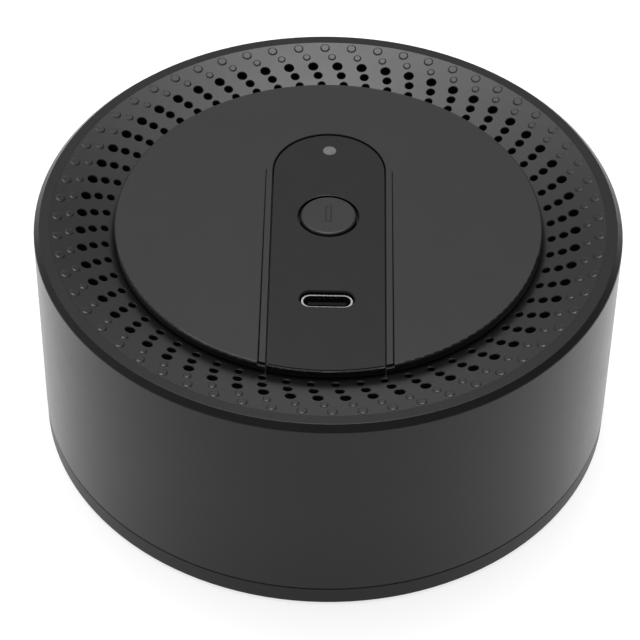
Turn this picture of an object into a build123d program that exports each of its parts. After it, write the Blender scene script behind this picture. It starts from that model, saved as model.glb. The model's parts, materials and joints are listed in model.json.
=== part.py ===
"""Desktop air quality monitor: a round puck with a perforated intake dish, a centre disc with a
control panel let into it, and the boards, sensors, fan and cell inside.

Millimetres. +Z is up, the socket end of the panel faces -Y. The origin is on the axis of the body,
on the surface that the feet stand on.
"""
from build123d import *
import os
from math import cos, radians, sin, tan

# ---- overall ---------------------------------------------------------------------------------
body_diameter = 105.0      # outside of the sleeve
body_height = 45.0         # feet to rim
foot_height = 0.6          # how far the feet stand out of the base
base_band_height = 3.7     # visible band of the base, below the seam

# ---- sleeve ----------------------------------------------------------------------------------
sleeve_wall = 2.0
rim_bevel = 1.05           # 45 degree bevel round the top edge
rim_flat = 1.85            # level ring inside the bevel
rim_edge_round = 0.12      # edge between bevel and level ring
bevel_foot_round = 0.35    # edge between bevel and side wall
ledge_width = 2.0          # inner ledge that carries the grille
ledge_thickness = 1.6
seam_bevel = 0.2           # both edges of the seam above the base band

# ---- intake dish -----------------------------------------------------------------------------
grille_width = 11.33       # from the level ring to the centre disc
dish_slope = 14.2          # degrees, falling towards the disc
grille_sheet = 1.8
grille_gap = 0.03          # grille edge to sleeve rim
grille_ring_width = 2.1    # thick outer ring that sits on the sleeve's ledge
swirl_lines = 60           # each line crosses the dish with three holes and two studs
innermost_ring_offset = 1.63   # first ring of holes, outwards from the disc's edge
ring_pitch = 2.1
hole_diameters = (1.36, 1.52, 1.76)    # innermost ring first
stud_diameters = (1.50, 1.85)
stud_height = 0.15
stud_lip = 0.04            # upright foot of the stud
stud_bevel = 0.25
hole_edge_bevel = 0.12
swirl_start = 2.47         # degrees, angle of the first innermost hole
swirl_first_step = 0.847   # degrees, from the innermost ring to the next
swirl_step_growth = 0.264  # degrees, added to the step at each ring outwards
mesh_thickness = 0.3
mesh_gap = 0.05
mesh_margin = 1.3          # mesh beyond the centres of the inner and outer rings of holes

# ---- centre disc -----------------------------------------------------------------------------
disc_drop = 1.0            # disc face below the rim
disc_sheet = 2.0
disc_side_height = 1.5     # upright side of the disc above its undercut
disc_undercut = 0.77
disc_edge_round = 0.4
disc_skirt_wall = 1.6
seat_gap = 0.2             # disc skirt to the grille's seat
seat_depth = 0.8           # seat below the inner edge of the dish
seat_wall = 1.2            # wall of the seat under the dish

# ---- control panel ---------------------------------------------------------------------------
panel_half_width = 10.1
arch_centre_y = 13.4       # centre of the panel's round back end
panel_drop = 0.2           # panel face below the disc face
panel_sheet = 1.6
panel_gap = 0.2
panel_edge_round = 0.12
panel_front_groove = 0.2   # width and depth of the fine groove across the front of the panel
panel_front_lip = 0.4      # from the groove to the front edge
shoulder_width = 1.35      # shallow shoulder of the disc along both sides of the panel
shoulder_depth = 0.12      # depth of the shoulder at the front edge, nothing at the arch
shoulder_line_width = 0.36     # V groove along the outside of the shoulder, at the front edge
shoulder_line_depth = 0.4
shoulder_line_end = 0.16       # depth of the groove at the arch
shoulder_notch = 0.6       # step down and back at the front end of the shoulder
pocket_edge_bevel = 0.1    # edge of the disc round the panel
panel_ledge = 1.3          # ledge of the disc under the panel's edge
panel_frame = 3.0          # thickening of the disc round the ledge
front_ledge = 3.4          # ledge under the panel's front end, inwards from the disc's edge
adhesive_thickness = 0.2
adhesive_inset = 0.15

# ---- button, switch and lamp -----------------------------------------------------------------
button_y = 1.2
button_diameter = 10.15
button_hole_gap = 0.42
button_proud = 0.2
button_travel = 0.4
button_edge_round = 0.5
button_top = 1.2           # thickness of the cap's face
button_wall = 1.4
flange_width = 1.1
flange_thickness = 0.7
stem_radius = 1.2
mark_length = 4.4          # outlined bar let into the cap
mark_width = 1.3
mark_line = 0.35           # width of the outline
mark_offset_y = 0.4
mark_depth = 0.15
switch_side = 6.0
switch_height = 3.5
plunger_radius = 1.75
plunger_rise = 0.8         # plunger above the switch at rest
plunger_depth = 1.2        # plunger inside the switch at rest
plunger_room = 0.3         # left below the plunger at the end of its travel
shaft_gap = 0.03           # radial running clearance
lamp_y = 19.15
lamp_radius = 1.2
lamp_collar = 0.8
lamp_chip = (2.0, 1.25, 0.8)
lamp_air = 0.3             # light pipe above the lamp

# ---- socket ----------------------------------------------------------------------------------
socket_y = -20.25
socket_width = 8.94        # USB-C receptacle shell
socket_depth = 3.26
socket_shell = 0.3
socket_length = 6.5
socket_recess = 0.65       # shell rim below the panel face
socket_cutout_gap = 0.27   # panel cut-out round the shell
cutout_bevel = 0.2
insulator_height = 1.7
insulator_gap = 0.03
tongue_width = 6.69
tongue_thickness = 0.7
tongue_recess = 0.6        # tongue tip below the shell rim
contact_count = 12         # on each side of the tongue
contact_pitch = 0.5
contact_width = 0.25
contact_thickness = 0.05
contact_length = 2.4
shell_leg = (1.0, 0.3)     # solder leg, width and thickness
leg_inset = 1.6            # legs inwards from the ends of the shell
leg_slot_gap = 0.08

# ---- control board ---------------------------------------------------------------------------
control_board_half_width = 8.7
control_board_front = 7.2  # board beyond the socket's centre
control_board_back = 4.0   # board beyond the lamp's centre
control_board_thickness = 1.2
control_boss_radius = 2.0
control_boss_x = 6.6
control_boss_ys = (-11.5, 12.2)
control_screw_bite = 3.8

# ---- screws ----------------------------------------------------------------------------------
screw_radius = 1.0
screw_hole_gap = 0.2
screw_head_radius = 1.9
screw_head_height = 1.4
screw_slot_width = 0.5     # cross recess
screw_slot_length = 2.2
screw_slot_depth = 0.7
screw_tip_room = 0.3       # hole beyond the tip of a screw

# ---- base ------------------------------------------------------------------------------------
base_floor = 2.0
base_inset = 0.05          # base band inside the sleeve's outline
base_foot_round = 0.3
spigot_gap = 0.2
spigot_wall = 2.0
spigot_height = 4.0        # above the seam
foot_radius = 5.5
foot_pocket = 0.6
foot_gap = 0.15
foot_edge_round = 0.3
post_radius = 3.0
post_edge = 0.7            # post to the wall of the disc's seat
post_angles = (45, 135, 225, 315)
post_joint_rise = 1.0      # where base bosses and grille posts meet, above the main board
base_screw_length = 14.4
base_head_depth = 2.4      # seat of the base screw's head above the foot's pocket
disc_screw_angles = (15, 165, 195, 345)
disc_boss_radius = 2.5
disc_screw_bite = 1.6

# ---- main board and what stands on it --------------------------------------------------------
main_board_gap = 4.0       # board edge to the base's spigot
main_board_thickness = 1.6
post_hole_gap = 0.5
standoff_radius = 2.75
standoff_edge = 4.3        # standoffs inwards from the board's edge
standoff_angles = (0, 90, 180, 270)
board_screw_bite = 5.0
battery_size = (50.0, 34.0, 6.0)
battery_pad_size = (44.0, 28.0, 0.5)
battery_air = 1.0
battery_round = 1.2
lead_radius = 0.5
lead_spacing = 2.0
lead_bend = 0.8
lead_straight = 0.4        # share of the reach that is straight at each end
lead_y = -8.0
battery_plug_size = (6.0, 5.0, 4.5)
battery_plug_reach = 6.0   # from the cell to the plug
sensor_size = (48.0, 37.0, 12.0)
sensor_wall = 1.2
sensor_lid = 1.5
lid_slots = 5              # over the optics
lid_slot_width = 1.2
lid_slot_pitch = 2.6
lid_slot_inset = 4.0       # first slot from the end of the lid
co2_size = (23.0, 13.0, 7.0)
co2_edge_round = 1.0
co2_filter_size = (16.0, 5.0, 0.4)
ribbon_plug_depth = 4.0
ribbon_plug_width = 8.4
lower_plug_height = 3.0
upper_plug_height = 2.5
ribbon_thickness = 0.3
ribbon_width = 7.0
ribbon_bend = 3.0
ribbon_lead_in = 3.0       # straight end of the ribbon under the upper plug
ribbon_slant_rise = 5.0
ribbon_upper_y = 16.2
part_gap = 1.0             # between neighbours on the main board
shield_size = (18.0, 14.0, 2.8)
shield_wall = 0.3
processor_size = (7.0, 7.0, 1.0)
gas_sensor_radius = 4.6
gas_sensor_height = 4.0
gas_well_depth = 0.6
buzzer_radius = 4.5
buzzer_height = 4.2
buzzer_hole_depth = 1.5
side_part_x = 34.0         # gas sensor and buzzer, right and left of the particle sensor
side_part_y = 10.0
humidity_size = (3.0, 3.0, 1.1)
humidity_y = -6.0

# ---- fan of the particle sensor --------------------------------------------------------------
fan_x = 12.0
fan_radius = 8.5
fan_hub_radius = 5.5
fan_hub_wall = 0.6
fan_hub_top = 1.2
fan_blades = 7
fan_blade_thickness = 0.7
fan_blade_tilt = 25.0      # degrees from upright
fan_blade_height = 4.4
fan_shaft_radius = 0.75
fan_lid_air = 1.8          # hub below the lid
fan_floor_air = 2.0        # hub above the case floor
motor_radius = 4.6
motor_height = 1.2
coil_radius = 3.8
coil_height = 3.2
bearing_radius = 1.6
bearing_height = 4.2
shaft_well_floor = 0.3     # of the motor, under the shaft
shaft_end_gap = 0.2        # shaft above that floor
fan_opening_radius = 9.0
fan_lid_bars = 2           # crossing bars over the fan
laser_radius = 3.0
laser_length = 10.0
laser_barrel_share = 0.7   # of the length, at the full radius
laser_nose_share = 0.7     # of the radius
laser_gap = 0.1
cradle_wall = 1.0
receiver_board_size = (12.0, 1.0, 6.0)

# ---- working allowances ----------------------------------------------------------------------
past = 1.0                 # cutters run this far past the faces that they cut
root = 0.2                 # overlap where one feature grows out of another

# ---- derived sizes ---------------------------------------------------------------------------
body_r = body_diameter / 2
rim_z = body_height
sleeve_inner_r = body_r - sleeve_wall
rim_inner_r = body_r - rim_bevel - rim_flat
disc_r = rim_inner_r - grille_width
skirt_r = disc_r - disc_undercut
seat_r = skirt_r + seat_gap


def dish_z(radius):
    """Height of the dish's upper face at a radius."""
    return rim_z - (rim_inner_r - radius) * tan(radians(dish_slope))


grille_r = rim_inner_r - grille_gap
grille_ring_r = grille_r - grille_ring_width
ledge_z = dish_z(grille_ring_r) - grille_sheet
ledge_inner_r = grille_r - ledge_width
seat_z = dish_z(seat_r) - seat_depth
seat_underside_z = seat_z - grille_sheet

disc_z = rim_z - disc_drop
disc_underside_z = disc_z - disc_sheet
undercut_z = disc_z - disc_side_height
panel_z = disc_z - panel_drop
panel_underside_z = panel_z - panel_sheet
panel_ledge_z = panel_underside_z - adhesive_thickness

control_board_z = panel_z - socket_recess - socket_length
control_board_underside_z = control_board_z - control_board_thickness
button_z = panel_z + button_proud
button_r = button_diameter / 2
plunger_top_z = control_board_z + switch_height + plunger_rise
socket_rim_z = control_board_z + socket_length

base_z = foot_height
seam_z = base_z + base_band_height
floor_z = base_z + base_floor
spigot_r = sleeve_inner_r - spigot_gap
spigot_inner_r = spigot_r - spigot_wall
foot_seat_z = base_z + foot_pocket
base_head_z = foot_seat_z + base_head_depth

post_circle_r = seat_r - post_radius - post_edge
seat_opening_r = post_circle_r - post_radius - part_gap
main_board_r = spigot_inner_r - main_board_gap
standoff_circle_r = main_board_r - standoff_edge
battery_z = floor_z + battery_pad_size[2]
main_board_underside_z = battery_z + battery_size[2] + battery_air
main_board_z = main_board_underside_z + main_board_thickness
post_joint_z = main_board_z + post_joint_rise
screw_clear_r = screw_radius + screw_hole_gap
screw_bite_r = screw_radius + shaft_gap

sensor_floor_z = main_board_z + sensor_wall
sensor_lid_z = main_board_z + sensor_size[2] - sensor_lid
hub_low_z = sensor_floor_z + fan_floor_air
hub_top_z = sensor_lid_z - fan_lid_air
lower_plug_y = sensor_size[1] / 2 + part_gap + ribbon_plug_depth / 2
co2_y = lower_plug_y + ribbon_plug_depth / 2 + part_gap + co2_size[1] / 2
shield_y = -(sensor_size[1] / 2 + 2 * part_gap + shield_size[1] / 2 + part_gap)

UPRIGHT = (Align.CENTER, Align.CENTER, Align.MIN)


# ---- helpers ---------------------------------------------------------------------------------
def rod(radius, low, high, x=0.0, y=0.0):
    """Upright cylinder between two heights."""
    return Pos(x, y, low) * Cylinder(radius, high - low, align=UPRIGHT)


def pipe(outer, inner, low, high, x=0.0, y=0.0):
    """Upright tube between two heights."""
    return rod(outer, low, high, x, y) - rod(inner, low - past, high + past, x, y)


def block(width, depth, low, high, x=0.0, y=0.0):
    """Upright box between two heights."""
    return Pos(x, y, low) * Box(width, depth, high - low, align=UPRIGHT)


def prism(sketch, low, high):
    """Flat outline carried up between two heights."""
    return extrude(Pos(0, 0, low) * sketch, high - low)


def turned(*outline):
    """Solid turned about Z from (radius, height) corners."""
    face = make_face(Plane.XZ * Polyline(*outline, close=True))
    return revolve(face, axis=Axis.Z)


def on_circle(radius, angles):
    """Points on a circle about the body's axis."""
    return [(radius * cos(radians(a)), radius * sin(radians(a))) for a in angles]


def round_edges_at(solid, height):
    """Edges of a solid that lie wholly at one height."""
    return solid.edges().filter_by(lambda e: abs(e.bounding_box().min.Z - height) < 1e-4
                                   and abs(e.bounding_box().max.Z - height) < 1e-4)


def edges_of_radius(solid, radius, height):
    """Round edges of one radius about Z at one height."""
    level = round_edges_at(solid, height)
    return level.filter_by(lambda e: e.geom_type == GeomType.CIRCLE and abs(e.radius - radius) < 1e-3)


def panel_outline(grow):
    """Outline of the panel, grown sideways, open past the front of the disc."""
    half = panel_half_width + grow
    front_y = -2 * disc_r
    length = arch_centre_y - front_y
    straight = Pos(0, front_y + length / 2) * Rectangle(2 * half, length)
    return straight + Pos(0, arch_centre_y) * Circle(half)


def screw(x, y, seat, tip, side):
    """Cross recess screw; side is +1 with the head above its seat, -1 with the head below."""
    head_end = seat + side * screw_head_height
    head = rod(screw_head_radius, min(seat, head_end), max(seat, head_end), x, y)
    shank = rod(screw_radius, min(seat, tip), max(seat, tip), x, y)
    slot_end = head_end - side * screw_slot_depth
    low = min(head_end, slot_end)
    high = max(head_end, slot_end)
    recess = block(screw_slot_length, screw_slot_width, low, high, x, y)
    recess += block(screw_slot_width, screw_slot_length, low, high, x, y)
    return head + shank - recess


def screw_set(places, seat, tip, side):
    """Equal screws as one compound of solids."""
    return Compound(children=[screw(x, y, seat, tip, side).solid() for x, y in places])


def control_bosses():
    """Places of the bosses that carry the control board."""
    return [(x, y) for x in (-control_boss_x, control_boss_x) for y in control_boss_ys]


# ---- outer shell -----------------------------------------------------------------------------
def side_shell():
    """Sleeve with bevelled rim and the inner ledge under the grille."""
    ledge_foot_z = ledge_z - ledge_thickness
    sleeve = turned(
        (body_r, seam_z), (body_r, rim_z - rim_bevel), (body_r - rim_bevel, rim_z),
        (rim_inner_r, rim_z), (rim_inner_r, ledge_z), (ledge_inner_r, ledge_z),
        (ledge_inner_r, ledge_foot_z), (sleeve_inner_r, ledge_foot_z - (sleeve_inner_r - ledge_inner_r)),
        (sleeve_inner_r, seam_z))
    sleeve = chamfer(edges_of_radius(sleeve, body_r, seam_z), seam_bevel)
    sleeve = fillet(edges_of_radius(sleeve, body_r, rim_z - rim_bevel), bevel_foot_round)
    return fillet(edges_of_radius(sleeve, body_r - rim_bevel, rim_z), rim_edge_round)


def swirl_rings():
    """Radius and starting angle of each ring of holes and studs, from the disc outwards."""
    rings = []
    angle = swirl_start
    step = swirl_first_step
    for index in range(len(hole_diameters) + len(stud_diameters)):
        rings.append((disc_r + innermost_ring_offset + index * ring_pitch, angle))
        angle += step
        step += swirl_step_growth
    return rings


def on_dish(radius, angle):
    """Frame on the dish's face, its Z axis square to the face."""
    return Rot(0, 0, angle) * Pos(radius, 0, dish_z(radius)) * Rot(0, -dish_slope, 0)


def hole_cutter(diameter):
    """Drill for one hole, with its edge bevel at the dish's face."""
    r = diameter / 2
    return turned((0, -2 * grille_sheet), (r, -2 * grille_sheet), (r, -hole_edge_bevel),
                  (r + hole_edge_bevel + past, past), (0, past))


def stud(diameter):
    """Low flat stud with a bevelled edge, its foot sunk into the sheet."""
    r = diameter / 2
    return turned((0, -root), (r, -root), (r, stud_lip), (r - stud_bevel, stud_height), (0, stud_height))


def grille_plate():
    """Dish with its seat for the disc, its posts, holes and studs."""
    seat_foot_r = seat_r + seat_wall
    plate = turned(
        (grille_r, dish_z(grille_r)), (seat_r, dish_z(seat_r)), (seat_r, seat_z),
        (seat_opening_r, seat_z), (seat_opening_r, seat_underside_z), (seat_foot_r, seat_underside_z),
        (seat_foot_r, dish_z(seat_foot_r) - grille_sheet), (grille_ring_r, ledge_z), (grille_r, ledge_z))
    for x, y in on_circle(post_circle_r, post_angles):
        plate += rod(post_radius, post_joint_z, seat_underside_z + grille_sheet / 2, x, y)
        screw_end = base_head_z + base_screw_length + part_gap
        plate -= rod(screw_bite_r, post_joint_z - past, screw_end, x, y)
    for x, y in on_circle(post_circle_r, disc_screw_angles):
        plate -= rod(screw_clear_r, seat_underside_z - past, seat_z + past, x, y)
    rings = swirl_rings()
    pitch = 360 / swirl_lines
    for (radius, start), diameter in zip(rings[len(hole_diameters):], stud_diameters):
        shape = stud(diameter)
        studs = [on_dish(radius, start + n * pitch) * shape for n in range(swirl_lines)]
        plate = plate.fuse(*[s.solid() for s in studs])
    for (radius, start), diameter in zip(rings, hole_diameters):
        cutter = hole_cutter(diameter)
        cutters = [on_dish(radius, start + n * pitch) * cutter for n in range(swirl_lines)]
        plate = plate.cut(*[c.solid() for c in cutters])
    return plate


def dust_mesh():
    """Black filter cloth under the holes."""
    first_r = swirl_rings()[0][0]
    last_r = swirl_rings()[len(hole_diameters) - 1][0]
    low_r = max(first_r - mesh_margin, seat_r + seat_wall + mesh_gap * 2)
    high_r = last_r + mesh_margin
    top = grille_sheet + mesh_gap
    foot = top + mesh_thickness
    return turned((low_r, dish_z(low_r) - top), (high_r, dish_z(high_r) - top),
                  (high_r, dish_z(high_r) - foot), (low_r, dish_z(low_r) - foot))


# ---- centre disc and panel -------------------------------------------------------------------
def disc_envelope(top_z):
    """Turned outline that the disc and the panel share."""
    return rod(disc_r, undercut_z, top_z) + rod(skirt_r, seat_z, undercut_z)


def shoulder_groove(side):
    """V groove along the outside of one shoulder, shallower towards the arch."""
    x = side * (panel_half_width + panel_gap + shoulder_width - shoulder_line_width / 2)
    spread = (1 + past / shoulder_line_depth) * shoulder_line_width / 2
    section = make_face(Polyline((x, -disc_r, disc_z - shoulder_line_depth),
                                 (x - spread, -disc_r, disc_z + past),
                                 (x + spread, -disc_r, disc_z + past), close=True))
    run = Vector(0, disc_r + arch_centre_y, shoulder_line_depth - shoulder_line_end)
    return extrude(section, run.length, dir=run)


def shoulder_cutter():
    """Wedge for the shoulders beside the panel, with a step at their front ends."""
    half = panel_half_width + panel_gap + shoulder_width
    side = make_face(Plane.YZ * Polyline((-disc_r, disc_z - shoulder_depth), (arch_centre_y, disc_z),
                                         (arch_centre_y, disc_z + past), (-2 * disc_r, disc_z + past),
                                         (-2 * disc_r, disc_z - shoulder_depth), close=True))
    notch = pipe(2 * disc_r, disc_r - shoulder_notch, disc_z - shoulder_notch, disc_z + past)
    ends = block(2 * half, 2 * disc_r, disc_z - shoulder_notch, disc_z + past, 0, -disc_r)
    return extrude(side, half, both=True) + (notch & ends)


def centre_disc():
    """Disc with the pocket and ledge for the panel, and the bosses that screw to the grille."""
    plate = fillet(edges_of_radius(disc_envelope(disc_z), disc_r, disc_z), disc_edge_round)
    hollow = rod(skirt_r - disc_skirt_wall, seat_z - past, disc_underside_z)
    frame = prism(panel_outline(panel_frame), seat_z - 2, disc_underside_z)
    plate -= hollow - frame
    for x, y in on_circle(post_circle_r, disc_screw_angles):
        plate += rod(disc_boss_radius, seat_z, disc_underside_z + disc_sheet / 2, x, y)
        plate -= rod(screw_bite_r, seat_z - past, seat_z + disc_screw_bite + screw_tip_room, x, y)
    plate -= shoulder_cutter()
    for side in (-1, 1):
        plate -= shoulder_groove(side)
    pocket = panel_outline(panel_gap)
    plate -= prism(pocket, panel_ledge_z, disc_z + past)
    plate -= extrude(Pos(0, 0, disc_z - pocket_edge_bevel) * pocket, 2 * pocket_edge_bevel, taper=-45)
    opening = panel_outline(panel_gap - panel_ledge) & Circle(disc_r - front_ledge)
    return plate - prism(opening, seat_z - past, panel_ledge_z)


def socket_outline(grow):
    """Rounded outline of the socket, grown all round."""
    return Pos(0, socket_y) * SlotOverall(socket_width + 2 * grow, socket_depth + 2 * grow)


def control_panel():
    """Inset panel with the button, lamp and socket openings and the control board's bosses."""
    panel = disc_envelope(panel_z) & prism(panel_outline(0), panel_underside_z, panel_z)
    panel = fillet(round_edges_at(panel, panel_z), panel_edge_round)
    groove_r = disc_r - panel_front_lip
    groove = pipe(groove_r, groove_r - panel_front_groove, panel_z - panel_front_groove, panel_z + past)
    across = prism(panel_outline(-panel_front_groove), panel_z - past, panel_z + past)
    panel -= groove & across & block(4 * disc_r, 2 * disc_r, panel_z - past, panel_z + past, 0, -disc_r)
    hole_r = button_r + button_hole_gap
    panel -= rod(hole_r, panel_underside_z - past, panel_z + past, 0, button_y)
    panel = fillet(edges_of_radius(panel, hole_r, panel_z), panel_edge_round)
    panel -= rod(lamp_radius + shaft_gap, panel_underside_z - past, panel_z + past, 0, lamp_y)
    panel -= prism(socket_outline(socket_cutout_gap), panel_underside_z - past, panel_z + past)
    mouth = Pos(0, 0, panel_z - cutout_bevel) * socket_outline(socket_cutout_gap)
    panel -= extrude(mouth, 2 * cutout_bevel, taper=-45)
    for x, y in control_bosses():
        panel += rod(control_boss_radius, control_board_z, panel_underside_z + panel_sheet / 2, x, y)
        hole_end = control_board_z + control_screw_bite + screw_tip_room
        panel -= rod(screw_bite_r, control_board_z - past, hole_end, x, y)
    return panel


def panel_adhesive():
    """Adhesive ring between the panel and the disc's ledge."""
    ring = panel_outline(-adhesive_inset) & Circle(skirt_r - adhesive_inset)
    opening = panel_outline(panel_gap - panel_ledge + adhesive_inset) & Circle(disc_r - front_ledge
                                                                               + adhesive_inset)
    return prism(ring - opening, panel_ledge_z, panel_underside_z)


# ---- button, switch and lamp -----------------------------------------------------------------
def mark_outline():
    """Outline of a plain bar on the button."""
    bar = Rectangle(mark_width, mark_length) - Rectangle(mark_width - 2 * mark_line,
                                                         mark_length - 2 * mark_line)
    return Pos(0, button_y + mark_offset_y) * bar


def button_cap():
    """Hollow cap with a retaining flange and a stem that meets the switch."""
    cap = rod(button_r, panel_underside_z, button_z, 0, button_y)
    cap = fillet(edges_of_radius(cap, button_r, button_z), button_edge_round)
    flange_z = panel_underside_z - flange_thickness
    cap += rod(button_r + flange_width, flange_z, panel_underside_z, 0, button_y)
    cap -= rod(button_r - button_wall, flange_z - past, button_z - button_top, 0, button_y)
    cap += rod(stem_radius, plunger_top_z, button_z - button_top / 2, 0, button_y)
    return cap - prism(mark_outline(), button_z - mark_depth, button_z + past)


def button_mark():
    """Dark outline of a bar, let into the cap."""
    return prism(mark_outline(), button_z - mark_depth, button_z)


def switch_body():
    """Tactile switch on the control board."""
    top_z = control_board_z + switch_height
    body = block(switch_side, switch_side, control_board_z, top_z, 0, button_y)
    well_z = top_z - plunger_depth - button_travel - plunger_room
    return body - rod(plunger_radius + shaft_gap, well_z, top_z + past, 0, button_y)


def switch_plunger():
    """Plunger of the switch, which goes down with the cap."""
    return rod(plunger_radius, plunger_top_z - plunger_rise - plunger_depth, plunger_top_z, 0, button_y)


def lamp_pipe():
    """Clear light pipe of the status lamp, flush with the panel."""
    foot_z = control_board_z + lamp_chip[2] + lamp_air
    lens = rod(lamp_radius, foot_z, panel_z, 0, lamp_y)
    return lens + rod(lamp_radius + lamp_collar, panel_underside_z - lamp_collar, panel_underside_z,
                      0, lamp_y)


def lamp():
    """Status lamp on the control board."""
    width, depth, height = lamp_chip
    return block(width, depth, control_board_z, control_board_z + height, 0, lamp_y)


# ---- socket ----------------------------------------------------------------------------------
def shell_legs():
    """Places of the four solder legs of the socket's shell."""
    x = socket_width / 2 - leg_inset
    y = (socket_depth - shell_leg[1]) / 2
    return [(sx * x, socket_y + sy * y) for sx in (-1, 1) for sy in (-1, 1)]


def usb_shell():
    """Metal shell of the socket, its mouth just below the panel face."""
    shell = prism(socket_outline(0) - socket_outline(-socket_shell), control_board_z, socket_rim_z)
    for x, y in shell_legs():
        shell += block(*shell_leg, control_board_underside_z, control_board_z + root, x, y)
    return shell


def usb_insulator():
    """Insulator block with the contact tongue."""
    top_z = control_board_z + insulator_height
    body = prism(socket_outline(-socket_shell - insulator_gap), control_board_z, top_z)
    return body + block(tongue_width, tongue_thickness, control_board_z, socket_rim_z - tongue_recess,
                        0, socket_y)


def usb_contacts():
    """Gold contact strips on both faces of the tongue."""
    low = control_board_z + insulator_height
    first_x = -contact_pitch * (contact_count - 1) / 2
    reach = (tongue_thickness + contact_thickness) / 2
    strips = [block(contact_width, contact_thickness, low, low + contact_length,
                    first_x + n * contact_pitch, socket_y + side * reach).solid()
              for n in range(contact_count) for side in (-1, 1)]
    return Compound(children=strips)


# ---- control board ---------------------------------------------------------------------------
def control_board():
    """Board under the panel that carries the socket, switch and lamp."""
    front_y = socket_y - control_board_front
    back_y = lamp_y + control_board_back
    board = block(2 * control_board_half_width, back_y - front_y, control_board_underside_z,
                  control_board_z, 0, (front_y + back_y) / 2)
    for x, y in control_bosses():
        board -= rod(screw_clear_r, control_board_underside_z - past, control_board_z + past, x, y)
    for x, y in shell_legs():
        width, depth = [size + 2 * leg_slot_gap for size in shell_leg]
        board -= block(width, depth, control_board_underside_z - past, control_board_z + past, x, y)
    return board


# ---- base ------------------------------------------------------------------------------------
def base_plate():
    """Base with its band, spigot, bosses, standoffs and pockets for the feet."""
    band_r = body_r - base_inset
    spigot_z = seam_z + spigot_height
    base = turned((0, base_z), (band_r, base_z), (band_r, seam_z), (spigot_r, seam_z),
                  (spigot_r, spigot_z), (spigot_inner_r, spigot_z), (spigot_inner_r, floor_z),
                  (0, floor_z))
    base = fillet(edges_of_radius(base, band_r, base_z), base_foot_round)
    base = chamfer(edges_of_radius(base, band_r, seam_z), seam_bevel)
    for x, y in on_circle(post_circle_r, post_angles):
        base += rod(post_radius, floor_z - base_floor / 2, post_joint_z, x, y)
        base -= rod(foot_radius + foot_gap, base_z - past, foot_seat_z, x, y)
        base -= rod(screw_head_radius + screw_hole_gap, base_z, base_head_z, x, y)
        base -= rod(screw_clear_r, base_z, post_joint_z + past, x, y)
    for x, y in on_circle(standoff_circle_r, standoff_angles):
        base += rod(standoff_radius, floor_z - base_floor / 2, main_board_underside_z, x, y)
        base -= rod(screw_bite_r, main_board_underside_z - board_screw_bite - screw_tip_room,
                    main_board_underside_z + past, x, y)
    return base


def rubber_feet():
    """Four soft feet in their pockets, over the base screws."""
    feet = []
    for x, y in on_circle(post_circle_r, post_angles):
        foot = rod(foot_radius, 0, foot_seat_z, x, y)
        feet.append(fillet(edges_of_radius(foot, foot_radius, 0), foot_edge_round).solid())
    return Compound(children=feet)


# ---- main board ------------------------------------------------------------------------------
def main_board():
    """Round board with holes for the posts and its screws."""
    board = rod(main_board_r, main_board_underside_z, main_board_z)
    for x, y in on_circle(post_circle_r, post_angles):
        board -= rod(post_radius + post_hole_gap, main_board_underside_z - past, main_board_z + past, x, y)
    for x, y in on_circle(standoff_circle_r, standoff_angles):
        board -= rod(screw_clear_r, main_board_underside_z - past, main_board_z + past, x, y)
    return board


def battery_cell():
    """Flat lithium cell under the main board."""
    width, depth, height = battery_size
    cell = block(width, depth, battery_z, battery_z + height)
    return fillet(cell.edges().filter_by(Axis.X), battery_round)


def battery_pad():
    """Foam pad between the base and the cell."""
    width, depth, height = battery_pad_size
    return block(width, depth, floor_z, floor_z + height)


def battery_plug_face():
    """X of the battery plug's face towards the cell."""
    return -battery_size[0] / 2 - battery_plug_reach


def battery_plug():
    """Plug of the cell's leads, under the main board."""
    width, depth, height = battery_plug_size
    return block(width, depth, main_board_underside_z - height, main_board_underside_z,
                 battery_plug_face() - width / 2, lead_y)


def battery_leads():
    """Two insulated leads from the cell to its plug."""
    start_x = -battery_size[0] / 2
    start_z = battery_z + battery_size[2] / 2
    end_z = main_board_underside_z - battery_plug_size[2] / 2
    reach = battery_plug_reach
    leads = []
    for side in (-1, 1):
        y = lead_y + side * lead_spacing / 2
        route = FilletPolyline((start_x, y, start_z), (start_x - reach * lead_straight, y, start_z),
                               (start_x - reach * (1 - lead_straight), y, end_z), (start_x - reach, y, end_z),
                               radius=lead_bend)
        section = Plane(origin=(start_x, y, start_z), z_dir=(-1, 0, 0)) * Circle(lead_radius)
        leads.append(sweep(section, path=route).solid())
    return Compound(children=leads)


def ribbon_cable():
    """Flat ribbon from the main board up to the control board."""
    low_z = main_board_z + lower_plug_height
    high_z = control_board_underside_z - upper_plug_height
    bend_z = high_z - ribbon_lead_in
    route = FilletPolyline((lower_plug_y, low_z), (lower_plug_y, bend_z - ribbon_slant_rise),
                           (ribbon_upper_y, bend_z), (ribbon_upper_y, high_z), radius=ribbon_bend)
    strip = trace(route, line_width=ribbon_thickness)
    return extrude(Plane.YZ * strip, ribbon_width / 2, both=True)


def ribbon_plugs():
    """Ribbon connectors on both boards."""
    lower = block(ribbon_plug_width, ribbon_plug_depth, main_board_z,
                  main_board_z + lower_plug_height, 0, lower_plug_y)
    upper = block(ribbon_plug_width, ribbon_plug_depth, control_board_underside_z - upper_plug_height,
                  control_board_underside_z, 0, ribbon_upper_y)
    return Compound(children=[lower.solid(), upper.solid()])


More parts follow.
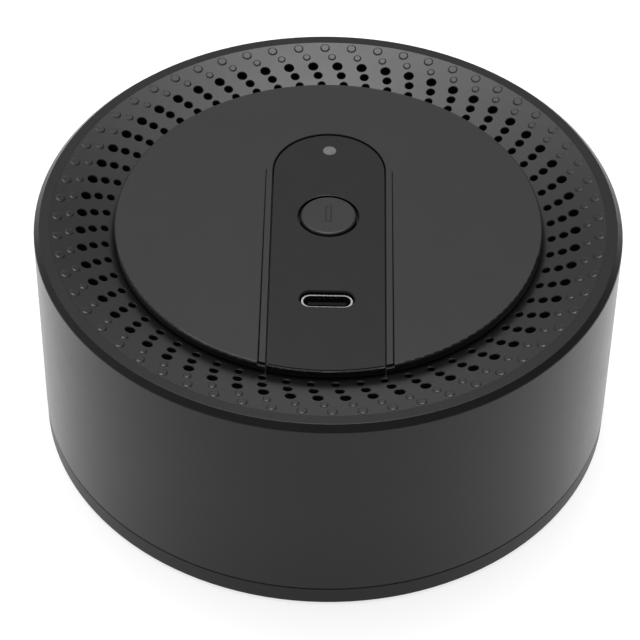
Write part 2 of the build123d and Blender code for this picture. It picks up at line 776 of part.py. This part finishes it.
# ---- particle sensor -------------------------------------------------------------------------
def sensor_case():
    """Open case of the particle sensor, with a wall between optics and fan."""
    width, depth, height = sensor_size
    case = block(width, depth, main_board_z, sensor_lid_z)
    case -= block(width - 2 * sensor_wall, depth - 2 * sensor_wall, sensor_floor_z, sensor_lid_z + past)
    wall_x = fan_x - fan_opening_radius - 2 * sensor_wall
    case += block(sensor_wall, depth - sensor_wall, sensor_floor_z - root, sensor_lid_z, wall_x)
    case -= block(3 * sensor_wall, depth / 4, sensor_floor_z, sensor_lid_z - sensor_wall, wall_x, depth / 4)
    cradle_x = -width / 4
    for side in (-1, 1):
        y = laser_place()[1] + side * (laser_radius + laser_gap + cradle_wall / 2)
        case += block(laser_length / 2, cradle_wall, sensor_floor_z - root,
                      sensor_floor_z + laser_radius, cradle_x, y)
    return case


def laser_place():
    """Middle of the laser on the case floor."""
    return (-sensor_size[0] / 4, -sensor_size[1] / 4)


def laser_module():
    """Laser diode in its stepped barrel."""
    x, y = laser_place()
    middle_z = sensor_floor_z + laser_radius + laser_gap / 2
    barrel = Cylinder(laser_radius, laser_length * laser_barrel_share)
    nose = Cylinder(laser_radius * laser_nose_share, laser_length * (1 - laser_barrel_share))
    return Pos(x, y, middle_z) * Rot(0, 90, 0) * (barrel + Pos(0, 0, laser_length / 2) * nose)


def receiver_board():
    """Upright board with the light receiver."""
    width, depth, height = receiver_board_size
    return block(width, depth, sensor_floor_z, sensor_floor_z + height,
                 -sensor_size[0] / 4, sensor_size[1] / 8)


def sensor_lid_cover():
    """Lid of the particle sensor, open over the fan and slotted over the optics."""
    width, depth, height = sensor_size
    top_z = sensor_lid_z + sensor_lid
    lid = block(width, depth, sensor_lid_z, top_z)
    lid -= rod(fan_opening_radius, sensor_lid_z - past, top_z + past, fan_x, 0)
    lid += rod(fan_opening_radius / 2, sensor_lid_z, top_z, fan_x, 0)
    bar = Box(2 * (fan_opening_radius + root), sensor_wall, sensor_lid)
    for n in range(fan_lid_bars):
        turn = Rot(0, 0, 180 * (n + 0.5) / fan_lid_bars)
        lid += Pos(fan_x, 0, sensor_lid_z + sensor_lid / 2) * turn * bar
    for n in range(lid_slots):
        slot_x = lid_slot_inset + n * lid_slot_pitch - width / 2
        lid -= block(lid_slot_width, depth / 3, sensor_lid_z - past, top_z + past, slot_x, depth / 5)
    return lid


def fan_motor():
    """Motor base, coil and bearing tube of the fan."""
    coil_z = sensor_floor_z + motor_height
    motor = rod(motor_radius, sensor_floor_z, coil_z, fan_x, 0)
    motor += rod(coil_radius, coil_z, coil_z + coil_height, fan_x, 0)
    motor += rod(bearing_radius, coil_z, coil_z + bearing_height, fan_x, 0)
    return motor - rod(fan_shaft_radius + shaft_gap, sensor_floor_z + shaft_well_floor,
                       coil_z + bearing_height + past, fan_x, 0)


def fan_rotor():
    """Fan wheel: cup hub, tilted blades and shaft."""
    hub = rod(fan_hub_radius, hub_low_z, hub_top_z, fan_x, 0)
    hub -= rod(fan_hub_radius - fan_hub_wall, hub_low_z - past, hub_top_z - fan_hub_top, fan_x, 0)
    shaft_foot_z = sensor_floor_z + shaft_well_floor + shaft_end_gap
    hub += rod(fan_shaft_radius, shaft_foot_z, hub_top_z - fan_hub_top / 2, fan_x, 0)
    middle_z = (hub_low_z + hub_top_z) / 2
    inner_r = fan_hub_radius - fan_hub_wall / 2
    blade_length = fan_radius - inner_r
    blade = Box(blade_length, fan_blade_thickness, fan_blade_height)
    for n in range(fan_blades):
        turn = Pos(fan_x, 0, middle_z) * Rot(0, 0, n * 360 / fan_blades)
        hub += turn * Pos(inner_r + blade_length / 2, 0, 0) * Rot(fan_blade_tilt, 0, 0) * blade
    return hub


# ---- other parts on the main board -----------------------------------------------------------
def co2_sensor():
    """Carbon dioxide sensor block with a recess for its filter."""
    width, depth, height = co2_size
    top_z = main_board_z + height
    body = block(width, depth, main_board_z, top_z, 0, co2_y)
    body = fillet(body.edges().filter_by(Axis.Z), co2_edge_round)
    filter_width, filter_depth, filter_height = co2_filter_size
    return body - block(filter_width, filter_depth, top_z - filter_height, top_z + past, 0, co2_y)


def co2_filter():
    """White filter in the top of the carbon dioxide sensor."""
    width, depth, height = co2_filter_size
    top_z = main_board_z + co2_size[2]
    return block(width, depth, top_z - height, top_z, 0, co2_y)


def processor_shield():
    """Metal can over the processor."""
    width, depth, height = shield_size
    top_z = main_board_z + height
    can = block(width, depth, main_board_z, top_z, 0, shield_y)
    return can - block(width - 2 * shield_wall, depth - 2 * shield_wall, main_board_z - past,
                       top_z - shield_wall, 0, shield_y)


def processor():
    """Processor under its shield."""
    width, depth, height = processor_size
    return block(width, depth, main_board_z, main_board_z + height, 0, shield_y)


def gas_sensor():
    """Metal can of the gas sensor with its inlet well."""
    top_z = main_board_z + gas_sensor_height
    can = rod(gas_sensor_radius, main_board_z, top_z, side_part_x, side_part_y)
    return can - rod(gas_sensor_radius / 2, top_z - gas_well_depth, top_z + past, side_part_x, side_part_y)


def humidity_sensor():
    """Temperature and humidity sensor with its port."""
    width, depth, height = humidity_size
    top_z = main_board_z + height
    chip = block(width, depth, main_board_z, top_z, side_part_x, humidity_y)
    return chip - rod(width / 6, top_z - height / 3, top_z + past, side_part_x, humidity_y)


def buzzer():
    """Round buzzer with its sound hole."""
    top_z = main_board_z + buzzer_height
    body = rod(buzzer_radius, main_board_z, top_z, -side_part_x, side_part_y)
    return body - rod(buzzer_radius / 4, top_z - buzzer_hole_depth, top_z + past, -side_part_x, side_part_y)


# ---- fasteners -------------------------------------------------------------------------------
def base_screws():
    """Screws from under the feet up into the grille's posts."""
    places = on_circle(post_circle_r, post_angles)
    return screw_set(places, base_head_z, base_head_z + base_screw_length, -1)


def disc_screws():
    """Screws from under the grille's seat up into the disc."""
    places = on_circle(post_circle_r, disc_screw_angles)
    return screw_set(places, seat_underside_z, seat_z + disc_screw_bite, -1)


def control_board_screws():
    """Screws from under the control board up into the panel."""
    return screw_set(control_bosses(), control_board_underside_z, control_board_z + control_screw_bite, -1)


def main_board_screws():
    """Screws down through the main board into the base."""
    places = on_circle(standoff_circle_r, standoff_angles)
    return screw_set(places, main_board_z, main_board_underside_z - board_screw_bite, 1)


NODES = {
    "side_shell": side_shell, "grille_plate": grille_plate, "dust_mesh": dust_mesh,
    "centre_disc": centre_disc, "disc_screws": disc_screws, "control_panel": control_panel,
    "panel_adhesive": panel_adhesive, "button_cap": button_cap, "button_mark": button_mark,
    "switch_body": switch_body, "switch_plunger": switch_plunger, "lamp_pipe": lamp_pipe,
    "lamp": lamp, "usb_shell": usb_shell, "usb_insulator": usb_insulator,
    "usb_contacts": usb_contacts, "control_board": control_board,
    "control_board_screws": control_board_screws, "base_plate": base_plate,
    "base_screws": base_screws, "rubber_feet": rubber_feet, "main_board": main_board,
    "main_board_screws": main_board_screws, "battery_cell": battery_cell,
    "battery_pad": battery_pad, "battery_plug": battery_plug, "battery_leads": battery_leads,
    "ribbon_cable": ribbon_cable, "ribbon_plugs": ribbon_plugs, "sensor_case": sensor_case,
    "sensor_lid": sensor_lid_cover, "laser_module": laser_module,
    "receiver_board": receiver_board, "fan_motor": fan_motor, "fan_rotor": fan_rotor,
    "co2_sensor": co2_sensor, "co2_filter": co2_filter, "processor_shield": processor_shield,
    "processor": processor, "gas_sensor": gas_sensor, "humidity_sensor": humidity_sensor,
    "buzzer": buzzer,
}

os.makedirs("parts", exist_ok=True)
for name, make in NODES.items():
    export_step(make(), f"parts/{name}.step")
    print("wrote", name)
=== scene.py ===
import json
from math import cos, pi, radians, sin

import bpy
from mathutils import Matrix, Vector


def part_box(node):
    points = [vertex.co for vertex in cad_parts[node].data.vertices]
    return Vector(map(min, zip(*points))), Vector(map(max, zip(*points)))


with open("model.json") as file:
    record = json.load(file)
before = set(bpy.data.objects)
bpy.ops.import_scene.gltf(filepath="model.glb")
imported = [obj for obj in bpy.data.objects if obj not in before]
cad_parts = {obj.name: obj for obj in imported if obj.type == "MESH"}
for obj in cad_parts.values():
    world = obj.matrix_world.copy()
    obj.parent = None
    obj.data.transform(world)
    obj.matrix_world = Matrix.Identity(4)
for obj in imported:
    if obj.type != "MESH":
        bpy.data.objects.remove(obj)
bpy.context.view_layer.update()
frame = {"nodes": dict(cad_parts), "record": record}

MM = 0.001

# ---- places read from the frame, metres -------------------------------------------------------
RIM_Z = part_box("side_shell")[1].z
PANEL_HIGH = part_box("control_panel")[1]
GROOVE_X = PANEL_HIGH.x + 1.37 * MM     # middle of the groove outside each shoulder of the disc
GROOVE_HALF = 0.19 * MM
GROOVE_BACK = PANEL_HIGH.y - PANEL_HIGH.x

# ---- camera: aimed near the axis, at the height of the dish's outer holes ----------------------
AIM_BELOW_RIM = 1.39 * MM
CAMERA_DISTANCE = 478.8 * MM
CAMERA_ELEVATION = radians(41.992)
CAMERA_PAN = radians(0.142)
CAMERA_TILT = radians(2.116)
CAMERA_ROLL = radians(1.006)
CAMERA_LENS = 150.6         # mm, on the sensor below
SENSOR_WIDTH = 36
CAMERA_NEAR = 10 * MM

# ---- light: soft lobes round the object; azimuth from the back (+Y) towards +X, degrees ---------
AMBIENT = 0.294
LOBES = {                   # name: (azimuth, elevation, sharpness, radiance)
    "back_high": (0, 66, 30, 2.12),
    "back_peak": (0, 72, 90, 8.6),
    "back_edge": (0, 80, 90, 0.88),
    "crown_left": (-42, 60, 25, 2.25),
    "crown_right": (42, 60, 25, 1.41),
    "zenith": (0, 90, 12, 2.8),
    "back_low": (0, 12, 12, 0.83),
    "back_left": (-60, 35, 8, 0.46),
    "side_left": (-105, 20, 8, 0.24),
    "front_left": (-132, 12, 30, 0.15),
}
FLOOR_SIDE = 8.0
FLOOR_COLOUR = 0.35
FLOOR_ROUGHNESS = 0.9
FLOOR_GLOW = 0.74           # even backlight of the white sweep

# ---- moulded plastics and coatings -------------------------------------------------------------
PLAIN_IOR = 1.45            # refractive index of every finish that has none of its own
BLACK = (0.0043, 0.0043, 0.0044)
PLASTIC_IOR = 1.38
PLASTIC_DRIFT = 0.12        # how far the shade drifts, as a share of the colour
DRIFT_SIZE = 12 * MM
SATIN_SIZE = 5 * MM
GRAIN_SIZE = 0.12 * MM
GRAIN_DEPTH = 0.0012 * MM
FINE_GRAIN_DEPTH = 0.0004 * MM

MOULDED = {                 # slot: (colour, least roughness, most roughness, index, grain depth)
    "shell_plastic": (BLACK, 0.24, 0.29, 1.335, GRAIN_DEPTH),
    "grille_plastic": (BLACK, 0.26, 0.31, PLASTIC_IOR, GRAIN_DEPTH),
    "disc_plastic": (BLACK, 0.33, 0.38, PLASTIC_IOR, GRAIN_DEPTH),
    "panel_plastic": ((0.0035, 0.0035, 0.0036), 0.20, 0.25, 1.35, FINE_GRAIN_DEPTH),
    "button_plastic": ((0.0066, 0.0066, 0.0067), 0.34, 0.40, PLASTIC_IOR, GRAIN_DEPTH),
    "mark_ink": ((0.003, 0.003, 0.003), 0.45, 0.55, 1.31, GRAIN_DEPTH),
    "base_plastic": ((0.003, 0.003, 0.0031), 0.36, 0.42, 1.32, GRAIN_DEPTH),
    "insulator": ((0.0015, 0.0015, 0.0015), 0.6, 0.7, 1.2, GRAIN_DEPTH),
    "switch_plastic": ((0.03, 0.03, 0.03), 0.45, 0.55, PLASTIC_IOR, GRAIN_DEPTH),
    "lamp_chip": ((0.85, 0.83, 0.72), 0.3, 0.4, PLASTIC_IOR, GRAIN_DEPTH),
    "plug_plastic": ((0.80, 0.79, 0.74), 0.4, 0.5, PLASTIC_IOR, GRAIN_DEPTH),
    "lead_sleeve": ((0.35, 0.02, 0.02), 0.45, 0.6, PLASTIC_IOR, GRAIN_DEPTH),
    "sensor_case": ((0.05, 0.10, 0.30), 0.4, 0.5, PLASTIC_IOR, GRAIN_DEPTH),
    "fan_plastic": ((0.03, 0.03, 0.03), 0.35, 0.45, PLASTIC_IOR, GRAIN_DEPTH),
    "motor": ((0.08, 0.08, 0.085), 0.3, 0.45, PLASTIC_IOR, GRAIN_DEPTH),
    "chip": ((0.02, 0.02, 0.02), 0.45, 0.55, PLASTIC_IOR, GRAIN_DEPTH),
}
# painted shade: near-black colour laid on the disc's two grooves, in place of the shade that falls
# in them
GROOVE_PAINTED_SHADE = (0.002, 0.002, 0.002)
GROOVE_ROUGHNESS = 0.6

# ---- metals ------------------------------------------------------------------------------------
EVEN = (1, 1, 1)
ALONG_Z = (1, 1, 0.08)      # scratches that run up and down
ALONG_X = (0.08, 1, 1)      # scratches that run along X
METAL_DRIFT = 0.08
METAL_DRIFT_SIZE = 3 * MM
SCRATCH_SIZE = 0.4 * MM
SCRATCH_GRAIN = 0.2 * MM
SCRATCH_DEPTH = 0.001 * MM

METALS = {                  # slot: (colour, least roughness, most roughness, scratches)
    "steel": ((0.36, 0.36, 0.37), 0.2, 0.36, ALONG_Z),
    "screw_steel": ((0.45, 0.45, 0.47), 0.3, 0.5, EVEN),
    "gold": ((0.83, 0.62, 0.25), 0.2, 0.3, ALONG_Z),
    "laser_brass": ((0.72, 0.55, 0.25), 0.2, 0.35, ALONG_X),
    "sensor_metal": ((0.70, 0.66, 0.52), 0.25, 0.4, EVEN),
}
FOIL_COLOUR = (0.68, 0.69, 0.71)
FOIL_DRIFT = 0.07
FOIL_DRIFT_SIZE = 6 * MM
FOIL_ROUGHNESS = (0.32, 0.5)
FOIL_ROUGHNESS_SIZE = 1.5 * MM
CRINKLE_SIZE = 4 * MM
CRINKLE_DEPTH = 0.12 * MM
FOIL_GRAIN = 0.3 * MM
FOIL_GRAIN_DEPTH = 0.004 * MM

# ---- rubber, foam, film glue and membrane --------------------------------------------------------
SOFT_DRIFT = 0.2
SOFT_DRIFT_SIZE = 4 * MM
SOFT_ROUGHNESS_SIZE = 2 * MM

SOFTS = {                   # slot: (colour, least roughness, most roughness, pore size, depth)
    "soft_rubber": ((0.02, 0.02, 0.02), 0.75, 0.95, 0.3 * MM, 0.02 * MM),
    "foam": ((0.06, 0.06, 0.065), 0.75, 0.95, 0.6 * MM, 0.12 * MM),
    "adhesive": ((0.10, 0.10, 0.10), 0.5, 0.7, 0.8 * MM, 0.02 * MM),
    "filter_white": ((0.85, 0.85, 0.84), 0.75, 0.95, 0.25 * MM, 0.02 * MM),
}

# ---- cloth, boards, ribbon and lamp --------------------------------------------------------------
CLOTH_GAP = (0.0016, 0.0016, 0.0016)
CLOTH_THREAD = (0.0072, 0.0072, 0.0072)
CLOTH_STEP = (0.4, 0.95)            # weave height where the gap ends and the thread is full
CLOTH_PITCH = 0.25 * MM
CLOTH_DEPTH = 0.05 * MM
CLOTH_ROUGHNESS = (0.75, 0.95)
CLOTH_ROUGHNESS_SIZE = 2 * MM

FILM_IOR = 1.5
COPPER_RUN = (0.03, 0.17, 0.08)
SOLDER_MASK = (0.008, 0.075, 0.04)
RUN_CELL = 2.2 * MM
RUN_STEP = (0.06, 0.1)
RUN_DEPTH = 0.03 * MM
BOARD_ROUGHNESS = (0.28, 0.42)
BOARD_ROUGHNESS_SIZE = 3 * MM

FILM_WHITE = (0.75, 0.76, 0.78)
CONDUCTOR = (0.42, 0.44, 0.47)
CONDUCTOR_PITCH = 0.5 * MM
CONDUCTOR_STEP = (0.45, 0.75)
CONDUCTOR_DEPTH = 0.02 * MM
RIBBON_ROUGHNESS = (0.25, 0.4)
RIBBON_ROUGHNESS_SIZE = 2 * MM

LENS_IOR = 1.49
LENS_COLOUR = (0.084, 0.084, 0.087)
LENS_DRIFT = 0.22
LENS_DRIFT_SIZE = 0.7 * MM
LENS_ROUGHNESS = (0.25, 0.35)
LENS_ROUGHNESS_SIZE = 1 * MM
LENS_COAT = 0.3
LENS_COAT_ROUGHNESS = 0.2
LENS_GRAIN = 0.5 * MM
LENS_GRAIN_DEPTH = 0.002 * MM

# ---- sockets that share a name on the Mix node, by place -----------------------------------------
MIX_NUMBERS = (2, 3, 0)     # first input, second input, output
MIX_COLOURS = (6, 7, 2)
WAVE_PHASE = 2 * pi / 20    # the Wave node's scale for one ripple in each metre


def make_camera():
    """Long lens from the socket end, high enough to see the whole top."""
    aim = Vector((0, 0, RIM_Z - AIM_BELOW_RIM))
    away = Vector((0, -cos(CAMERA_ELEVATION), sin(CAMERA_ELEVATION)))
    data = bpy.data.cameras.new("camera")
    data.lens = CAMERA_LENS
    data.sensor_width = SENSOR_WIDTH
    data.clip_start = CAMERA_NEAR
    camera = bpy.data.objects.new("camera", data)
    bpy.context.scene.collection.objects.link(camera)
    facing = (-away).to_track_quat("-Z", "Y").to_matrix()
    facing = facing @ Matrix.Rotation(CAMERA_PAN, 3, "Y")
    facing = facing @ Matrix.Rotation(-CAMERA_TILT, 3, "X")
    facing = facing @ Matrix.Rotation(CAMERA_ROLL, 3, "Z")
    camera.matrix_world = Matrix.Translation(aim + away * CAMERA_DISTANCE) @ facing.to_4x4()
    bpy.context.scene.camera = camera


def direction(azimuth, elevation):
    """Unit vector of a lobe's middle."""
    az, el = radians(azimuth), radians(elevation)
    return Vector((sin(az) * cos(el), cos(az) * cos(el), sin(el)))


def math_node(tree, operation, *values):
    """One maths step; each value is a socket or a number."""
    node = tree.nodes.new("ShaderNodeMath")
    node.operation = operation
    for socket, value in zip(node.inputs, values):
        if isinstance(value, bpy.types.NodeSocket):
            tree.links.new(value, socket)
        else:
            socket.default_value = value
    return node.outputs[0]


def lobe_node(tree, ray, azimuth, elevation, sharpness, radiance):
    """Soft round patch of light: radiance * exp(sharpness * (cos(angle) - 1))."""
    dot = tree.nodes.new("ShaderNodeVectorMath")
    dot.operation = "DOT_PRODUCT"
    tree.links.new(ray, dot.inputs[0])
    dot.inputs[1].default_value = direction(azimuth, elevation)
    fall = math_node(tree, "MULTIPLY_ADD", dot.outputs["Value"], sharpness, -sharpness)
    return math_node(tree, "MULTIPLY", math_node(tree, "EXPONENT", fall), radiance)


def make_light():
    """World of soft studio lobes over an even ambient."""
    scene = bpy.context.scene
    scene.view_settings.view_transform = "Standard"
    world = bpy.data.worlds.new("studio")
    scene.world = world
    world.use_nodes = True
    tree = world.node_tree
    ray = tree.nodes.new("ShaderNodeTexCoord").outputs["Generated"]
    total = AMBIENT
    for lobe in LOBES.values():
        total = math_node(tree, "ADD", total, lobe_node(tree, ray, *lobe))
    tree.links.new(total, tree.nodes["Background"].inputs["Strength"])
    tree.nodes["Background"].inputs["Color"].default_value = (1, 1, 1, 1)


def make_floor():
    """Plain white sweep."""
    bpy.ops.mesh.primitive_plane_add(size=FLOOR_SIDE, location=(0, 0, 0))
    floor = bpy.context.object
    floor.name = "floor"
    material = bpy.data.materials.new("floor")
    material.use_nodes = True
    shader = material.node_tree.nodes["Principled BSDF"]
    shader.inputs["Base Color"].default_value = (FLOOR_COLOUR, FLOOR_COLOUR, FLOOR_COLOUR, 1)
    shader.inputs["Roughness"].default_value = FLOOR_ROUGHNESS
    shader.inputs["Specular IOR Level"].default_value = 0.0
    shader.inputs["Emission Color"].default_value = (1, 1, 1, 1)
    shader.inputs["Emission Strength"].default_value = FLOOR_GLOW
    floor.data.materials.append(material)


class Finish:
    """Procedural surface, built from patterns in the object's own metres."""

    def __init__(self, slot, ior=PLAIN_IOR, metallic=0.0):
        self.material = bpy.data.materials.new(slot)
        self.material.use_nodes = True
        self.tree = self.material.node_tree
        self.shader = self.tree.nodes["Principled BSDF"]
        self.shader.inputs["Metallic"].default_value = metallic
        self.shader.inputs["IOR"].default_value = ior
        self.place = self.tree.nodes.new("ShaderNodeTexCoord").outputs["Object"]
        self.height = None

    def stretched(self, stretch):
        """Coordinates scaled on each axis."""
        node = self.tree.nodes.new("ShaderNodeMapping")
        self.tree.links.new(self.place, node.inputs["Vector"])
        node.inputs["Scale"].default_value = stretch
        return node.outputs[0]

    def noise(self, size, detail=2.0, stretch=EVEN):
        """Noise whose features are about one size across, in metres."""
        node = self.tree.nodes.new("ShaderNodeTexNoise")
        self.tree.links.new(self.stretched(stretch), node.inputs["Vector"])
        node.inputs["Scale"].default_value = 1 / size
        node.inputs["Detail"].default_value = detail
        return node.outputs["Fac"]

    def cells(self, size, feature="F1"):
        """Voronoi distance with cells of one size, in metres."""
        node = self.tree.nodes.new("ShaderNodeTexVoronoi")
        node.feature = feature
        self.tree.links.new(self.place, node.inputs["Vector"])
        node.inputs["Scale"].default_value = 1 / size
        return node.outputs["Distance"]

    def wave(self, pitch, axis):
        """Straight ripples along an axis, with one pitch, in metres."""
        node = self.tree.nodes.new("ShaderNodeTexWave")
        node.wave_type = "BANDS"
        node.bands_direction = axis
        self.tree.links.new(self.place, node.inputs["Vector"])
        node.inputs["Scale"].default_value = WAVE_PHASE / pitch
        return node.outputs["Fac"]

    def spread(self, value, low, high):
        """A 0 to 1 value carried to another range."""
        node = self.tree.nodes.new("ShaderNodeMapRange")
        self.tree.links.new(value, node.inputs["Value"])
        node.inputs["To Min"].default_value = low
        node.inputs["To Max"].default_value = high
        return node.outputs["Result"]

    def colour(self, pattern, first, second, low=0.3, high=0.7):
        """Base colour that runs from one colour to another as a pattern goes from low to high."""
        node = self.tree.nodes.new("ShaderNodeValToRGB")
        start, end = node.color_ramp.elements
        start.position, end.position = low, high
        start.color, end.color = (*first, 1), (*second, 1)
        self.tree.links.new(pattern, node.inputs["Fac"])
        self.tree.links.new(node.outputs["Color"], self.shader.inputs["Base Color"])
        return self

    def shades(self, colour, size, amount):
        """Base colour that drifts lighter and darker."""
        light = [min(c * (1 + amount), 1) for c in colour]
        dark = [c * (1 - amount) for c in colour]
        return self.colour(self.noise(size, detail=4.0), dark, light)

    def rough(self, low, high, size, stretch=EVEN):
        """Roughness that drifts between two values."""
        value = self.spread(self.noise(size, detail=3.0, stretch=stretch), low, high)
        self.tree.links.new(value, self.shader.inputs["Roughness"])
        return self

    def blend(self, mask, name, second, kind, sockets):
        """What feeds a shader input gives way to a second value where a mask is 1."""
        target = self.shader.inputs[name]
        first_place, second_place, result_place = sockets
        node = self.tree.nodes.new("ShaderNodeMix")
        node.data_type = kind
        self.tree.links.new(mask, node.inputs["Factor"])
        self.tree.links.new(target.links[0].from_socket, node.inputs[first_place])
        node.inputs[second_place].default_value = second
        self.tree.links.new(node.outputs[result_place], target)

    def bump(self, value, depth):
        """Surface relief of a depth in metres, over any relief given before."""
        node = self.tree.nodes.new("ShaderNodeBump")
        node.inputs["Strength"].default_value = 1.0
        node.inputs["Distance"].default_value = depth
        self.tree.links.new(value, node.inputs["Height"])
        if self.height is not None:
            self.tree.links.new(self.height, node.inputs["Normal"])
        self.height = node.outputs["Normal"]
        self.tree.links.new(self.height, self.shader.inputs["Normal"])
        return self


def moulded(slot, colour, low, high, ior, depth):
    """Moulded plastic: faint shade drift, uneven satin and a fine spark-eroded grain."""
    finish = Finish(slot, ior)
    finish.shades(colour, DRIFT_SIZE, PLASTIC_DRIFT).rough(low, high, SATIN_SIZE)
    return finish.bump(finish.noise(GRAIN_SIZE), depth)


def paint_groove_shade(finish):
    """Painted shade: a near-black colour and a duller roughness laid on the two grooves of the disc
    that flank the panel, standing in for the shade that falls in them.
    """
    place = finish.tree.nodes.new("ShaderNodeSeparateXYZ")
    finish.tree.links.new(finish.place, place.inputs[0])
    side = math_node(finish.tree, "ABSOLUTE", place.outputs["X"])
    across = math_node(finish.tree, "COMPARE", side, GROOVE_X, GROOVE_HALF)
    front = math_node(finish.tree, "LESS_THAN", place.outputs["Y"], GROOVE_BACK)
    # mask of the groove surfaces, where the shade is painted
    groove_shade_mask = math_node(finish.tree, "MULTIPLY", across, front)
    finish.blend(groove_shade_mask, "Base Color", (*GROOVE_PAINTED_SHADE, 1), "RGBA", MIX_COLOURS)
    finish.blend(groove_shade_mask, "Roughness", GROOVE_ROUGHNESS, "FLOAT", MIX_NUMBERS)


def metal(slot, colour, low, high, stretch):
    """Metal: drifting tone and brushed or rolled scratches."""
    finish = Finish(slot, metallic=1.0)
    finish.shades(colour, METAL_DRIFT_SIZE, METAL_DRIFT).rough(low, high, SCRATCH_SIZE, stretch)
    return finish.bump(finish.noise(SCRATCH_GRAIN, 3.0, stretch), SCRATCH_DEPTH)


def soft(slot, colour, low, high, pore, depth):
    """Rubber, foam or membrane: matte with small pores."""
    finish = Finish(slot)
    finish.shades(colour, SOFT_DRIFT_SIZE, SOFT_DRIFT).rough(low, high, SOFT_ROUGHNESS_SIZE)
    return finish.bump(finish.cells(pore), depth)


def cloth(slot):
    """Woven mesh: two crossed sets of threads."""
    finish = Finish(slot)
    across = finish.wave(CLOTH_PITCH, "X")
    along = finish.wave(CLOTH_PITCH, "Y")
    weave = math_node(finish.tree, "MAXIMUM", across, along)
    finish.colour(weave, CLOTH_GAP, CLOTH_THREAD, *CLOTH_STEP)
    finish.rough(*CLOTH_ROUGHNESS, CLOTH_ROUGHNESS_SIZE)
    return finish.bump(weave, CLOTH_DEPTH)


def board(slot):
    """Solder mask with paler copper runs under it."""
    finish = Finish(slot, FILM_IOR)
    runs = finish.cells(RUN_CELL, "DISTANCE_TO_EDGE")
    finish.colour(runs, COPPER_RUN, SOLDER_MASK, *RUN_STEP)
    finish.rough(*BOARD_ROUGHNESS, BOARD_ROUGHNESS_SIZE)
    return finish.bump(runs, RUN_DEPTH)


def ribbon(slot):
    """White film with grey conductors showing through."""
    finish = Finish(slot, FILM_IOR)
    lines = finish.wave(CONDUCTOR_PITCH, "X")
    finish.colour(lines, FILM_WHITE, CONDUCTOR, *CONDUCTOR_STEP)
    finish.rough(*RIBBON_ROUGHNESS, RIBBON_ROUGHNESS_SIZE)
    return finish.bump(lines, CONDUCTOR_DEPTH)


def foil(slot):
    """Crinkled aluminium laminate."""
    finish = Finish(slot, metallic=1.0)
    finish.shades(FOIL_COLOUR, FOIL_DRIFT_SIZE, FOIL_DRIFT)
    finish.rough(*FOIL_ROUGHNESS, FOIL_ROUGHNESS_SIZE)
    finish.bump(finish.noise(CRINKLE_SIZE, detail=4.0), CRINKLE_DEPTH)
    return finish.bump(finish.noise(FOIL_GRAIN), FOIL_GRAIN_DEPTH)


def lens(slot):
    """Milky light pipe under a thin clear skin."""
    finish = Finish(slot, LENS_IOR)
    finish.shades(LENS_COLOUR, LENS_DRIFT_SIZE, LENS_DRIFT)
    finish.rough(*LENS_ROUGHNESS, LENS_ROUGHNESS_SIZE)
    finish.shader.inputs["Coat Weight"].default_value = LENS_COAT
    finish.shader.inputs["Coat Roughness"].default_value = LENS_COAT_ROUGHNESS
    return finish.bump(finish.noise(LENS_GRAIN), LENS_GRAIN_DEPTH)


def make_finishes():
    """One finish for each material slot of the record."""
    finishes = {slot: moulded(slot, *values) for slot, values in MOULDED.items()}
    finishes.update({slot: metal(slot, *values) for slot, values in METALS.items()})
    finishes.update({slot: soft(slot, *values) for slot, values in SOFTS.items()})
    finishes["filter_cloth"] = cloth("filter_cloth")
    finishes["board"] = board("board")
    finishes["ribbon"] = ribbon("ribbon")
    finishes["cell_foil"] = foil("cell_foil")
    finishes["lamp_lens"] = lens("lamp_lens")
    # painted shade along the disc's two grooves
    paint_groove_shade(finishes["disc_plastic"])
    return finishes


def dress():
    """Give every CAD node the finish of its slot."""
    finishes = make_finishes()
    for part in frame["record"]["subparts"]:
        node = frame["nodes"][part["node"]]
        node.data.materials.clear()
        node.data.materials.append(finishes[part["material_slot"]].material)


make_camera()
make_light()
make_floor()
dress()
